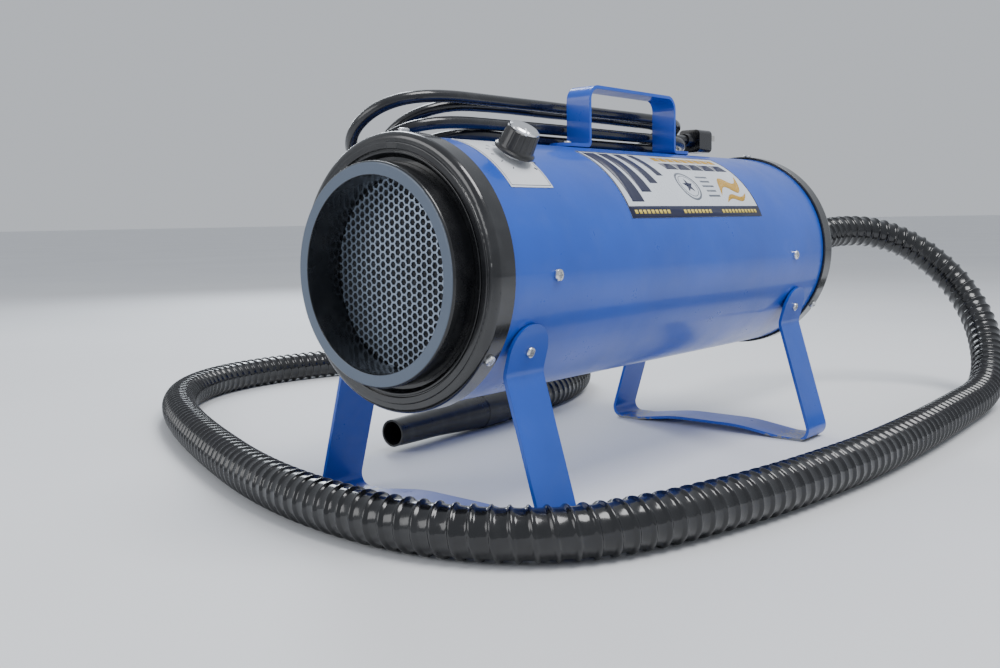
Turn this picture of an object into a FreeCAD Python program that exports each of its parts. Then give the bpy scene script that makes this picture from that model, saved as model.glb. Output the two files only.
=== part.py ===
import FreeCAD, Part
import math
import os

# Air blower for drying vehicles: a horizontal steel tube on two strap legs, with a
# grille at the front, two fan motors in line inside, and a long hose at the rear.
# Millimetres. +Z is up, +Y runs from the intake to the hose outlet.
# The origin is on the floor, under the middle of the blower itself.

V = FreeCAD.Vector

# ---- driving dimensions --------------------------------------------------------
AXIS_Z = 193.8            # height of the tube's axis
TUBE_R = 101.6            # 8 inch tube
TUBE_WALL = 1.5
TUBE_LENGTH = 514.5       # between the two caps
CAP_SKIRT = 17.0          # how far the tube runs on inside each cap
CAP_R = 104.3
RING_REACH = 39.5         # intake ring's front face, ahead of the front cap's rear edge
OUTLET_REACH = 70.0       # outlet spigot's end, behind the rear cap's front edge
BODY_MIDDLE = (TUBE_LENGTH + OUTLET_REACH - RING_REACH) / 2

RING_OUTER_R = 82.6
WELL_R = 72.4
GRILLE_FRONT = -7.0
GRILLE_THICK = 1.0
GRILLE_R = 81.0
HOLE_PITCH = 6.35
HOLE_FLATS = 4.9

LEG_WIDTH = 42.6
LEG_THICK = 3.0
LEG_MIDDLES = {"front": 27.1, "rear": 464.9}
LEG_FOOT_X = 125.4
LEG_BEND = (88.1, 120.7)
LEG_TOP = (98.6, 158.0)
LEG_ARCH = 7.0            # rise of the floor bar between the feet

HANDLE_WIDTH = 25.4
HANDLE_THICK = 3.0
HANDLE_POSTS = (214.3, 360.8)
HANDLE_TOP_Z = 351.0
HANDLE_FOOT = 34.0
HANDLE_BEND = 12.0

DIAL_ANGLE = 57.0
DIAL_AT = 55.0
KNOB_GAP = 5.0
KNOB_HEIGHT = 20.5
KNOB_BASE_R = 16.0
KNOB_TOP_R = 12.6
SHAFT_R = 3.0

PLATE_SPAN = (23.7, 72.3)
PLATE_ANGLES = (37.3, 77.0)
LABEL_SPAN = (159.0, 386.0)
LABEL_ANGLES = (22.0, 69.0)

STAGE_STARTS = {"front": 96.0, "rear": 300.0}
FAN_SHELL_R = 68.0
FAN_SHELL_LENGTH = 42.0
IMPELLER_R = 63.0
IMPELLER_BLADES = 9
CASE_R = 46.0
CASE_LENGTH = 92.0
ARMATURE_R = 24.0
MOTOR_SHAFT_R = 4.0
BEARING_R = 11.0

HOSE_R = 20.0
HOSE_WALL = 3.0
HOSE_START = 97.5         # where the hose leaves its cuff, behind the rear cap's front edge
NOZZLE_LENGTH = 185.0

CORD_R = 5.0
CORD_GAP = 10.6           # spacing of neighbouring turns in the hank

CLEAR = 0.3               # gap between pieces of different bodies
SEAT = 0.1                # gap round a screw or a seated piece


def along(distance):
    """Y of a place this far behind the front end of the bare tube."""
    return distance - BODY_MIDDLE


def around(radius, angle, distance):
    """Point at a radius and an angle about the tube's axis; 0 is +X and 90 is up."""
    a = math.radians(angle)
    return V(radius * math.cos(a), along(distance), AXIS_Z + radius * math.sin(a))


def outward(angle):
    a = math.radians(angle)
    return V(math.cos(a), 0, math.sin(a))


# ---- general shapes --------------------------------------------------------------
def rounded_wire(points, radii, closed=False):
    """Straight runs joined by tangent arcs; a radius of 0 leaves that corner sharp."""
    points = [V(*p) for p in points]
    count = len(points)
    ends = []
    arcs = []
    for i, p in enumerate(points):
        radius = radii[i]
        if radius == 0 or (not closed and i in (0, count - 1)):
            ends.append((p, p))
            arcs.append(None)
            continue
        back = (points[i - 1] - p).normalize()
        ahead = (points[(i + 1) % count] - p).normalize()
        half = back.getAngle(ahead) / 2
        start = p + back * (radius / math.tan(half))
        finish = p + ahead * (radius / math.tan(half))
        middle_way = (back + ahead).normalize()
        middle = p + middle_way * (radius / math.sin(half) - radius)
        ends.append((start, finish))
        arcs.append(Part.Arc(start, middle, finish).toShape())
    edges = []
    for i in range(count if closed else count - 1):
        if arcs[i]:
            edges.append(arcs[i])
        here = ends[i][1]
        there = ends[(i + 1) % count][0]
        if (there - here).Length > 1e-6:
            edges.append(Part.LineSegment(here, there).toShape())
    return Part.Wire(edges)


def turned(profile):
    """Solid of revolution of (radius, distance[, corner radius]) about the tube's axis."""
    points = [(p[0], along(p[1]), AXIS_Z) for p in profile]
    radii = [p[2] if len(p) > 2 else 0 for p in profile]
    face = Part.Face(rounded_wire(points, radii, closed=True))
    return face.revolve(V(0, 0, AXIS_Z), V(0, 1, 0), 360)


def ring(outer, inner, start, end):
    return turned([(inner, start), (outer, start), (outer, end), (inner, end)])


def disc(radius, start, end):
    return Part.makeCylinder(radius, end - start, V(0, along(start), AXIS_Z), V(0, 1, 0))


def sector(outer, inner, span, angles):
    """Curved plate on the tube, between two distances and two angles."""
    corners = [(inner, span[0]), (outer, span[0]), (outer, span[1]), (inner, span[1])]
    wire = rounded_wire([(r, along(d), AXIS_Z) for r, d in corners], [0] * 4, closed=True)
    plate = Part.Face(wire).revolve(V(0, 0, AXIS_Z), V(0, 1, 0), -(angles[1] - angles[0]))
    plate.rotate(V(0, 0, AXIS_Z), V(0, 1, 0), -angles[0])
    return plate


def spun(profile, base, direction):
    """Solid of revolution of (radius, height) about any axis that starts at base."""
    points = [(r, 0, h) for r, h in profile]
    solid = Part.Face(Part.makePolygon(points + points[:1])).revolve(V(0, 0, 0), V(0, 0, 1), 360)
    solid.Placement = FreeCAD.Placement(base, FreeCAD.Rotation(V(0, 0, 1), direction))
    return solid


def strap(path, profile_corners):
    """Flat bar of one rectangular section, swept along a flat path."""
    section = Part.makePolygon([V(*c) for c in profile_corners + profile_corners[:1]])
    return path.makePipeShell([section], True, True)


def oval(half, y0, y1):
    """Outline with straight sides along Y and a half circle at each end, about X = 0."""
    return Part.Wire([
        Part.LineSegment(V(half, y0, 0), V(half, y1, 0)).toShape(),
        Part.Arc(V(half, y1, 0), V(0, y1 + half, 0), V(-half, y1, 0)).toShape(),
        Part.LineSegment(V(-half, y1, 0), V(-half, y0, 0)).toShape(),
        Part.Arc(V(-half, y0, 0), V(0, y0 - half, 0), V(half, y0, 0)).toShape(),
    ])


def pan_screw(base, direction, head_r=4.2, head_h=2.6, shank_r=2.0, shank_l=8.0):
    """Pan head screw with a cross recess; base is the centre of the head's underside."""
    dome = 0.45 * head_h
    profile = [(0, -shank_l), (shank_r, -shank_l), (shank_r, 0), (head_r, 0), (head_r, head_h - dome)]
    profile += [(0.93 * head_r, head_h - 0.4 * dome), (0.7 * head_r, head_h), (0, head_h)]
    screw = spun(profile, base, direction)
    slot = Part.makeBox(1.1 * head_r, 0.26 * head_r, head_h, V(-0.55 * head_r, -0.13 * head_r, head_h * 0.5))
    cross = slot.fuse(slot.rotated(V(0, 0, 0), V(0, 0, 1), 90))
    cross.Placement = FreeCAD.Placement(base, FreeCAD.Rotation(V(0, 0, 1), direction))
    return screw.cut(cross)


def screw_hole(base, direction, radius=2.0, reach=14.0):
    start = base - direction * reach
    return Part.makeCylinder(radius + SEAT, 2 * reach, start, direction)


def cut_all(shape, tools):
    for tool in tools:
        shape = shape.cut(tool)
    return shape


def save(name, shape):
    solids = shape.Solids
    shape = solids[0] if len(solids) == 1 else Part.makeCompound(solids)
    bad = [s for s in solids if not s.isValid()]
    print(f"{name}: {len(solids)} solids, {shape.Volume / 1000:.1f} cm3{' NOT VALID' if bad else ''}")
    shape.exportStep(f"parts/{name}.step")


# ---- screws and the holes they need -----------------------------------------------
def round_screws(radius, distance, angles):
    return [(around(radius, a, distance), outward(a)) for a in angles]


CAP_SCREW_ANGLES = (86, -34, 206)
FRONT_CAP_SCREWS = round_screws(CAP_R, -9.5, CAP_SCREW_ANGLES)
REAR_CAP_SCREWS = round_screws(CAP_R, TUBE_LENGTH + 9.5, CAP_SCREW_ANGLES)
MOUNT_SCREWS = round_screws(TUBE_R + 0.1, 50.0, (-1, 181)) + round_screws(TUBE_R + 0.1, 446.0, (-1, 181))
DIAL_WAY = outward(DIAL_ANGLE)


def handle_screw_places():
    front = HANDLE_POSTS[0] - HANDLE_FOOT / 2
    rear = HANDLE_POSTS[1] + HANDLE_FOOT / 2
    top = AXIS_Z + TUBE_R + 0.1 + HANDLE_THICK
    return [(V(0, along(d), top), V(0, 0, 1)) for d in (front, rear)]


def leg_upper_way():
    """Unit vector up the leg's upper run, and the way its outer face looks."""
    up = V(LEG_TOP[0] - LEG_BEND[0], 0, LEG_TOP[1] - LEG_BEND[1]).normalize()
    return up, V(up.z, 0, -up.x)


def leg_screw_places(middle):
    up, out = leg_upper_way()
    centre = V(LEG_TOP[0], along(middle), LEG_TOP[1]) - up * (LEG_WIDTH / 2)
    mirrored = V(-centre.x, centre.y, centre.z)
    return [(centre, out), (mirrored, V(-out.x, 0, out.z))]


def all_tube_screws():
    places = FRONT_CAP_SCREWS + REAR_CAP_SCREWS + MOUNT_SCREWS + handle_screw_places()
    for middle in LEG_MIDDLES.values():
        places += leg_screw_places(middle)
    return places


# ---- shell -------------------------------------------------------------------------
def housing_tube():
    tube = ring(TUBE_R, TUBE_R - TUBE_WALL, -CAP_SKIRT, TUBE_LENGTH + CAP_SKIRT)
    holes = [screw_hole(base, way) for base, way in all_tube_screws()]
    holes.append(Part.makeCylinder(4.9, 20, around(TUBE_R - 10, DIAL_ANGLE, DIAL_AT), DIAL_WAY))
    holes.append(Part.makeCylinder(GLAND_R + SEAT, 20, around(TUBE_R - 10, GLAND_ANGLE, GLAND_AT), GLAND_WAY))
    return cut_all(tube, holes)


def intake_cap():
    """Moulded cap: skirt over the tube, stepped front, collar that holds the grille and filter."""
    inner = TUBE_R + SEAT
    profile = [
        (inner, 0), (CAP_R, 0, 0.8), (CAP_R, -20.5, 5.0), (96.5, -20.5, 0.6), (96.5, -21.8, 0.6),
        (91.4, -21.8, 0.6), (91.4, -19.8), (90.2, -19.8), (90.2, -21.2, 0.4), (88.6, -21.2, 0.4),
        (85.6, -18.0), (RING_OUTER_R + SEAT, -18.0), (RING_OUTER_R + SEAT, 6.0), (86.5, 6.0),
        (86.5, -17.2), (inner, -17.2),
    ]
    return cut_all(turned(profile), [screw_hole(base, way) for base, way in FRONT_CAP_SCREWS])


def intake_ring():
    """Round mouth of the intake, a deep sleeve with a flat satin front."""
    back = GRILLE_FRONT - SEAT
    return turned([
        (WELL_R, back), (RING_OUTER_R, back), (RING_OUTER_R, -RING_REACH, 2.2), (WELL_R, -RING_REACH, 0.8),
    ])


def hexagon(x, z, y):
    """Hexagonal hole outline with flats above and below."""
    corner = HOLE_FLATS / math.sqrt(3)
    points = []
    for i in range(6):
        a = math.radians(60 * i)
        points.append(V(x + corner * math.cos(a), y, z + corner * math.sin(a)))
    return Part.makePolygon(points + points[:1])


def intake_grille():
    """Perforated sheet: columns of hexagons, every other column half a pitch lower."""
    y = along(GRILLE_FRONT)
    column_step = HOLE_PITCH * math.sqrt(3) / 2
    limit = WELL_R + 3.0
    holes = []
    columns = int(limit / column_step)
    for i in range(-columns, columns + 1):
        x = i * column_step
        shift = HOLE_PITCH / 2 if i % 2 else 0
        rows = int(limit / HOLE_PITCH) + 1
        for j in range(-rows, rows + 1):
            z = j * HOLE_PITCH + shift
            if math.hypot(x, z) < limit:
                holes.append(hexagon(x, AXIS_Z + z, y))
    rim = Part.Wire(Part.Circle(V(0, y, AXIS_Z), V(0, 1, 0), GRILLE_R).toShape())
    sheet = Part.Face([rim] + holes)
    return sheet.extrude(V(0, GRILLE_THICK, 0))


def foam_filter():
    front = GRILLE_FRONT + GRILLE_THICK + SEAT
    return disc(GRILLE_R, front, front + 9.0)


def rear_cap():
    """Moulded cap like the front one, closing in a cone to the outlet."""
    end = TUBE_LENGTH
    inner = TUBE_R + SEAT
    profile = [
        (inner, end), (CAP_R, end, 0.8), (CAP_R, end + 20.5, 5.0), (96.5, end + 20.5, 0.6),
        (96.5, end + 21.8, 0.6), (91.0, end + 21.8, 0.6), (88.0, end + 19.0), (72.0, end + 23.0, 6.0),
        (34.0, end + 36.0, 8.0), (30.0, end + 44.0, 1.0), (19.2, end + 44.0), (19.2, end + 39.0),
        (32.0, end + 32.6), (70.0, end + 19.6), (86.0, end + 17.2), (inner, end + 17.2),
    ]
    return cut_all(turned(profile), [screw_hole(base, way) for base, way in REAR_CAP_SCREWS])


def outlet_spigot():
    """Tapered metal spigot through the rear cap, with a flange inside."""
    end = TUBE_LENGTH
    return turned([
        (16.5, end + 38.9), (19.1, end + 38.9), (19.1, end + OUTLET_REACH - 6), (18.4, end + OUTLET_REACH),
        (16.5, end + OUTLET_REACH),
    ])


# ---- legs and handle -----------------------------------------------------------------
def leg(middle):
    """U-shaped strap: two splayed sides with rounded tops, and an arched bar on the floor."""
    half = LEG_THICK / 2
    up, out = leg_upper_way()
    top = V(LEG_TOP[0], 0, LEG_TOP[1]) - out * half
    bend = V(LEG_BEND[0], 0, LEG_BEND[1]) - out * half
    foot = (LEG_FOOT_X - half - 1.0, half)
    pad_end = (LEG_FOOT_X - 36.0, half)
    crown = (40.0, half + LEG_ARCH)
    side = [(top.x, 0, top.z), (bend.x, 0, bend.z), (foot[0], 0, foot[1]), (pad_end[0], 0, pad_end[1])]
    side.append((crown[0], 0, crown[1]))
    other = [(-x, y, z) for x, y, z in reversed(side)]
    radii = [0, 14, 11, 60, 200]
    path = rounded_wire(side + other, radii + radii[::-1])
    path.translate(V(0, along(middle) - LEG_WIDTH / 2, 0))
    a = top + V(0, along(middle) - LEG_WIDTH / 2, 0)
    section = [a + out * half, a - out * half, a - out * half, a + out * half]
    section[2] = section[2] + V(0, LEG_WIDTH, 0)
    section[3] = section[3] + V(0, LEG_WIDTH, 0)
    bar = strap(path, section)
    r = LEG_WIDTH / 2
    y0 = along(middle) - r
    y1 = along(middle) + r
    shoulder = LEG_TOP[1] - r
    outline = [
        Part.LineSegment(V(-150, y0, -5), V(-150, y1, -5)).toShape(),
        Part.LineSegment(V(-150, y1, -5), V(-150, y1, shoulder)).toShape(),
        Part.Arc(V(-150, y1, shoulder), V(-150, along(middle), LEG_TOP[1]), V(-150, y0, shoulder)).toShape(),
        Part.LineSegment(V(-150, y0, shoulder), V(-150, y0, -5)).toShape(),
    ]
    rounding = Part.Face(Part.Wire(outline)).extrude(V(300, 0, 0))
    bar = bar.common(rounding)
    return cut_all(bar, [screw_hole(base, way) for base, way in leg_screw_places(middle)])


def leg_spacers():
    """Rubber bushes between the straps and the tube's curve."""
    solids = []
    keep = ring(TUBE_R + 60, TUBE_R + SEAT, -20, TUBE_LENGTH + 20)
    for middle in LEG_MIDDLES.values():
        for base, way in leg_screw_places(middle):
            under = base - way * (LEG_THICK + SEAT)
            bush = Part.makeCylinder(7.0, 12.0, under - way * 12.0, way)
            bush = bush.cut(Part.makeCylinder(2.0 + SEAT, 30.0, under - way * 20.0, way))
            solids += bush.common(keep).Solids
    return Part.makeCompound(solids)


def handle():
    """Strap handle: two posts, a flat grip and two feet on top of the tube."""
    half = HANDLE_THICK / 2
    foot_z = AXIS_Z + TUBE_R + 0.1 + half
    top_z = HANDLE_TOP_Z - half
    front, rear = HANDLE_POSTS
    stations = [
        (front - HANDLE_FOOT, foot_z), (front + half, foot_z), (front + half, top_z),
        (rear - half, top_z), (rear - half, foot_z), (rear + HANDLE_FOOT, foot_z),
    ]
    points = [(-HANDLE_WIDTH / 2, along(d), z) for d, z in stations]
    path = rounded_wire(points, [0, 3.6, HANDLE_BEND, HANDLE_BEND, 3.6, 0])
    y = along(front - HANDLE_FOOT)
    w = HANDLE_WIDTH / 2
    bar = strap(path, [(-w, y, foot_z - half), (-w, y, foot_z + half), (w, y, foot_z + half), (w, y, foot_z - half)])
    y0 = y + w
    y1 = along(rear + HANDLE_FOOT) - w
    rounding = Part.Face(oval(w, y0, y1)).extrude(V(0, 0, HANDLE_TOP_Z + 10))
    bar = bar.common(rounding)
    return cut_all(bar, [screw_hole(base, way) for base, way in handle_screw_places()])


# ---- dial ------------------------------------------------------------------------------
def dial_point(height):
    """Point on the dial's axis, this high above the tube's skin."""
    return around(TUBE_R + height, DIAL_ANGLE, DIAL_AT)


def dial_plate():
    plate = sector(TUBE_R + 0.6, TUBE_R + 0.05, PLATE_SPAN, PLATE_ANGLES)
    return plate.cut(Part.makeCylinder(5.0, 20, dial_point(-10), DIAL_WAY))


def side_label():
    return sector(TUBE_R + 0.35, TUBE_R + 0.05, LABEL_SPAN, LABEL_ANGLES)


def knob():
    """Tapered round knob with a thin skirt, a grip of shallow flutes and a recess below."""
    profile = [
        (SHAFT_R, 0.6), (8.0, 0.6), (8.0, 0), (KNOB_BASE_R, 0), (KNOB_BASE_R, 1.6), (KNOB_BASE_R - 1.6, 3.0),
        (KNOB_BASE_R - 1.9, 4.0), (KNOB_TOP_R + 0.2, KNOB_HEIGHT - 3.2), (KNOB_TOP_R - 0.6, KNOB_HEIGHT - 2.6),
        (SHAFT_R, KNOB_HEIGHT - 2.6),
    ]
    body = spun(profile, dial_point(KNOB_GAP), DIAL_WAY)
    flutes = []
    for i in range(18):
        a = math.radians(20 * i)
        flute = Part.makeCylinder(1.3, KNOB_HEIGHT, V(14.9 * math.cos(a), 14.9 * math.sin(a), 5.0))
        flute.rotate(V(14.9 * math.cos(a), 14.9 * math.sin(a), 5.0), V(-math.sin(a), math.cos(a), 0), -5.2)
        flutes.append(flute)
    cutter = Part.makeCompound(flutes)
    cutter.Placement = FreeCAD.Placement(dial_point(KNOB_GAP), FreeCAD.Rotation(V(0, 0, 1), DIAL_WAY))
    return cut_all(body, cutter.Solids)


def knob_cap():
    """Bright cap set in the knob's top, with a chamfered rim."""
    base = KNOB_HEIGHT - 2.5
    profile = [(0, base), (KNOB_TOP_R - 0.8, base), (KNOB_TOP_R - 0.8, KNOB_HEIGHT - 1.0)]
    profile += [(KNOB_TOP_R - 2.6, KNOB_HEIGHT), (KNOB_TOP_R - 4.4, KNOB_HEIGHT - 0.4), (0, KNOB_HEIGHT - 0.4)]
    return spun(profile, dial_point(KNOB_GAP), DIAL_WAY)


def dial_shaft():
    """Shaft that carries the knob, turning in the control's bush."""
    top = KNOB_GAP + KNOB_HEIGHT - 2.6
    return Part.makeCylinder(SHAFT_R - 0.02, top + 3.0, dial_point(-3.0), DIAL_WAY)


def dial_control():
    """Body of the speed control, with the threaded bush that passes through the tube."""
    profile = [
        (0, -12.5), (12.0, -12.5), (12.0, -2.6), (4.7, -2.6), (4.7, 3.6), (SHAFT_R + 0.05, 3.6),
        (SHAFT_R + 0.05, -4.0), (0, -4.0),
    ]
    return spun(profile, dial_point(0), DIAL_WAY)


def dial_nut():
    nut = []
    for i in range(6):
        a = math.radians(60 * i)
        nut.append(V(7.4 * math.cos(a), 7.4 * math.sin(a), 0))
    block = Part.Face(Part.makePolygon(nut + nut[:1])).extrude(V(0, 0, 2.4))
    block = block.cut(Part.makeCylinder(4.7 + SEAT, 10, V(0, 0, -2)))
    block.Placement = FreeCAD.Placement(dial_point(0.8), FreeCAD.Rotation(V(0, 0, 1), DIAL_WAY))
    return block


def in_dial_frame(solid):
    """Place a solid drawn about the dial's axis, its Z pointing out of the tube."""
    solid.Placement = FreeCAD.Placement(dial_point(0), FreeCAD.Rotation(V(0, 0, 1), DIAL_WAY))
    return solid


def control_board():
    return in_dial_frame(Part.makeBox(46, 34, 1.6, V(-23, -17, -14.3)))


def control_parts():
    """What is soldered under the board: a finned heat sink, a choke and a capacitor."""
    sink = Part.makeBox(20, 30, 12, V(-21, -15, -26.5))
    for i in range(4):
        sink = sink.cut(Part.makeBox(3, 34, 9, V(-18.4 + 4.6 * i, -17, -27.5)))
    choke = Part.makeTorus(7.0, 3.0, V(9.0, 6.0, -17.6))
    capacitor = Part.makeCylinder(5.0, 14, V(9, -10, -28.5))
    return in_dial_frame(Part.makeCompound([sink, choke, capacitor]))


# ---- fan motors -----------------------------------------------------------------------
def baffle(start, skirt_to, open_for_dial):
    """Plate across the tube with a round inlet, and a skirt along the tube's wall."""
    outer = TUBE_R - TUBE_WALL - SEAT
    lower = min(start - 3.0, skirt_to)
    plate = turned([
        (26.0, start - 3.0), (outer - 2.0, start - 3.0), (outer - 2.0, lower), (outer, lower),
        (outer, start), (26.0, start),
    ])
    tools = [screw_hole(base, way) for base, way in MOUNT_SCREWS]
    if open_for_dial:
        tools.append(sector(outer + 5, outer - 10, (skirt_to - 1, start - 12), (20, 95)))
    return cut_all(plate, tools)


def gasket(start):
    return ring(60.0, 34.0, start + SEAT, start + 2.5)


def fan_shell(start):
    """Round casing of the fan: inlet in front, and a motor seat with air passages behind."""
    front = start + 2.6
    back = front + FAN_SHELL_LENGTH
    shell = turned([
        (30.0, front), (FAN_SHELL_R, front, 4.0), (FAN_SHELL_R, back, 2.0), (BEARING_R + 0.02, back),
        (BEARING_R + 0.02, back - 9.0), (BEARING_R + 4.0, back - 9.0), (BEARING_R + 4.0, back - 2.0),
        (FAN_SHELL_R - 2.0, back - 2.0), (FAN_SHELL_R - 2.0, front + 2.0), (30.0, front + 2.0),
    ])
    ports = []
    for i in range(8):
        angle = 45 * i + 22
        ports.append(Part.makeCylinder(7.0, 8, around(31.0, angle, back - 6), V(0, 1, 0)))
    return cut_all(shell, ports)


def motor_case(start):
    """Cup round the motor, with a rear bearing seat and cooling slots."""
    front = start + 2.6 + FAN_SHELL_LENGTH + SEAT
    back = front + CASE_LENGTH
    case = turned([
        (CASE_R - 2.0, front), (CASE_R, front), (CASE_R, back, 6.0), (BEARING_R + 0.02, back),
        (BEARING_R + 0.02, back - 9.0), (BEARING_R + 3.0, back - 9.0), (BEARING_R + 3.0, back - 2.0),
        (CASE_R - 2.0, back - 2.0, 4.0),
    ])
    slots = []
    for i in range(6):
        slots.append(Part.makeCylinder(5.0, 20, around(31.0, 60 * i, back - 6), V(0, 1, 0)))
        slots.append(Part.makeCylinder(6.0, 12, around(CASE_R - 8, 60 * i + 30, back - 22), outward(60 * i + 30)))
    return cut_all(case, slots)


def motor_field(start):
    """Laminated field ring and its windings."""
    front = start + FAN_SHELL_LENGTH + 16.0
    return turned([
        (ARMATURE_R + 0.6, front), (36.0, front), (36.0, front + 5), (CASE_R - 2.1, front + 5),
        (CASE_R - 2.1, front + 35), (36.0, front + 35), (36.0, front + 40), (ARMATURE_R + 0.6, front + 40),
    ])


def motor_bearings(start):
    front = start + 2.6 + FAN_SHELL_LENGTH - 8.5
    back = start + 2.6 + FAN_SHELL_LENGTH + SEAT + CASE_LENGTH - 8.5
    rings = [ring(BEARING_R, MOTOR_SHAFT_R + 0.05, d, d + 7.0) for d in (front, back)]
    return Part.makeCompound(rings)


def motor_brushes(start):
    """Two brush holders on opposite sides of the commutator."""
    middle = start + FAN_SHELL_LENGTH + 70.0
    pair = []
    for side in (-1, 1):
        x = 12.4 if side > 0 else -41.0
        pair.append(Part.makeBox(28.6, 9.0, 7.0, V(x, along(middle) - 4.5, AXIS_Z - 3.5)))
    return Part.makeCompound(pair)


def rotor(start):
    """Shaft with the fan impeller, armature and commutator, all turning as one."""
    front = start + 2.6
    back_plate = front + 27.0
    end = front + FAN_SHELL_LENGTH + CASE_LENGTH - 2.5
    arm = start + FAN_SHELL_LENGTH + 18.0
    body = turned([
        (0, front + 4.0), (MOTOR_SHAFT_R, front + 4.0), (MOTOR_SHAFT_R, front + 9.0), (13.0, front + 9.0),
        (15.0, back_plate), (IMPELLER_R, back_plate), (IMPELLER_R, back_plate + 1.6), (9.0, back_plate + 1.6),
        (9.0, back_plate + 3.0), (MOTOR_SHAFT_R, back_plate + 3.0), (MOTOR_SHAFT_R, arm), (ARMATURE_R, arm),
        (ARMATURE_R, arm + 36), (14.0, arm + 36), (14.0, arm + 42), (12.0, arm + 42), (12.0, arm + 61),
        (MOTOR_SHAFT_R, arm + 61), (MOTOR_SHAFT_R, end), (0, end),
    ])
    blade = Part.makeBox(48.5, 19.0, 1.4, V(13.5, along(front + 8.5), AXIS_Z - 0.7))
    blade.rotate(V(13.5, along(front + 8.5), AXIS_Z), V(0, 1, 0), 24)
    wheel = [blade.rotated(V(0, 0, AXIS_Z), V(0, 1, 0), 360 / IMPELLER_BLADES * i) for i in range(IMPELLER_BLADES)]
    keep = disc(IMPELLER_R - 0.2, front + 8.5, back_plate + 0.8)
    for b in wheel:
        body = body.fuse(b.common(keep))
    return body.removeSplitter()


def rear_bracket():
    """Spider that steadies the rear motor: a band on the tube's wall and three arms."""
    outer = TUBE_R - TUBE_WALL - SEAT
    band = ring(outer, outer - 2.0, 438.0, 454.0)
    hub = ring(CASE_R + 4.0, CASE_R + 0.1, 418.0, 430.0)
    arms = []
    for angle in (90, 210, 330):
        arm = Part.makeBox(outer - CASE_R - 2.0, 3.0, 14.0, V(CASE_R + 1.5, along(427.0), AXIS_Z - 7.0))
        arm = arm.fuse(Part.makeBox(6.0, 26.0, 14.0, V(outer - 6.6, along(427.0), AXIS_Z - 7.0)))
        arms.append(arm.rotated(V(0, 0, AXIS_Z), V(0, 1, 0), -angle))
    keep = disc(outer - 0.5, 410.0, 460.0)
    whole = band.fuse(hub)
    for arm in arms:
        whole = whole.fuse(arm.common(keep))
    return cut_all(whole.removeSplitter(), [screw_hole(base, way) for base, way in MOUNT_SCREWS])


# ---- hose ------------------------------------------------------------------------------
# Route of the hose's middle line: x, distance behind the tube's front end, height.
HOSE_ROUTE = [
    (0, TUBE_LENGTH + HOSE_START, AXIS_Z), (0, 668, AXIS_Z), (-6, 726, 203), (2, 787, 211), (35, 840, 209),
    (82, 874, 184), (129, 884, 140), (165, 864, 93), (190, 818, 52), (204, 762, 27), (211, 698, 20),
    (214, 632, 20), (218, 560, 20), (221, 485, 20), (222, 410, 20), (221, 335, 20), (215, 262, 20),
    (207, 192, 20), (194, 126, 20), (178, 63, 20), (151, 3, 20), (101, -37, 20), (38, -56, 20),
    (-32, -57, 20), (-102, -48, 20), (-177, -29, 20), (-252, -3, 20), (-327, 25, 20), (-402, 56, 20),
    (-474, 90, 20), (-542, 130, 20), (-602, 182, 20), (-646, 248, 20), (-666, 324, 20), (-664, 402, 20),
    (-645, 478, 20), (-612, 550, 20), (-563, 612, 20), (-498, 654, 20), (-424, 666, 20), (-354, 650, 20),
    (-296, 608, 20), (-254, 550, 20), (-228, 482, 20), (-214, 410, 20), (-208, 340, 20),
]


def route_wire(route):
    """Runs joined by tangent arcs, each as large as its two runs allow."""
    points = [V(*p) for p in route]
    radii = [0]
    for a, b, c in zip(points, points[1:], points[2:]):
        before = b - a
        after = c - b
        turn = before.getAngle(after)
        radii.append(0.45 * min(before.Length, after.Length) / math.tan(turn / 2))
    radii.append(0)
    return rounded_wire(route, radii), radii


def tube_along(name, route, outer, inner=0):
    path, radii = route_wire(route)
    way = V(*route[1]) - V(*route[0])
    solid = path.makePipeShell([Part.Wire(Part.Circle(V(*route[0]), way, outer).toShape())], True, True)
    section = math.pi * outer ** 2
    if inner:
        bore = path.makePipeShell([Part.Wire(Part.Circle(V(*route[0]), way, inner).toShape())], True, True)
        solid = solid.cut(bore)
        section -= math.pi * inner ** 2
    print(f"{name}: length {path.Length:.0f}, radii {[round(r) for r in radii[1:-1]]}")
    print(f"{name}: volume over section times length {solid.Volume / (section * path.Length):.4f}")
    return solid


def hose_points():
    return [(x, along(d), z) for x, d, z in HOSE_ROUTE]


def hose_cuff():
    """Soft cuff that grips the outlet spigot and takes the hose."""
    end = TUBE_LENGTH
    start = end + 44.2
    return turned([
        (19.2, start), (24.5, start, 1.0), (24.5, start + 12.0, 1.0), (23.2, start + 14.0), (22.6, end + HOSE_START),
        (16.8, end + HOSE_START), (16.8, end + OUTLET_REACH + SEAT), (19.2, end + OUTLET_REACH + SEAT),
    ])


def nozzle():
    """Tapered blowing nozzle on the hose's free end, lying on the floor."""
    points = hose_points()
    base = V(*points[-1])
    way = (base - V(*points[-2])).normalize()
    rest = 20.0
    profile = [
        (17.2, 0), (rest, 0), (rest, 44.0), (rest - 0.8, 46.0), (15.0, 120.0), (14.0, NOZZLE_LENGTH),
        (12.0, NOZZLE_LENGTH), (13.0, 119.0), (17.2, 44.0),
    ]
    return spun(profile, base, V(way.x, way.y, 0))


# ---- power cord ------------------------------------------------------------------------
GLAND_ANGLE = 168.0
GLAND_AT = 134.0
GLAND_R = 8.0
GLAND_REACH = 30.0
GLAND_WAY = outward(GLAND_ANGLE)

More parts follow.
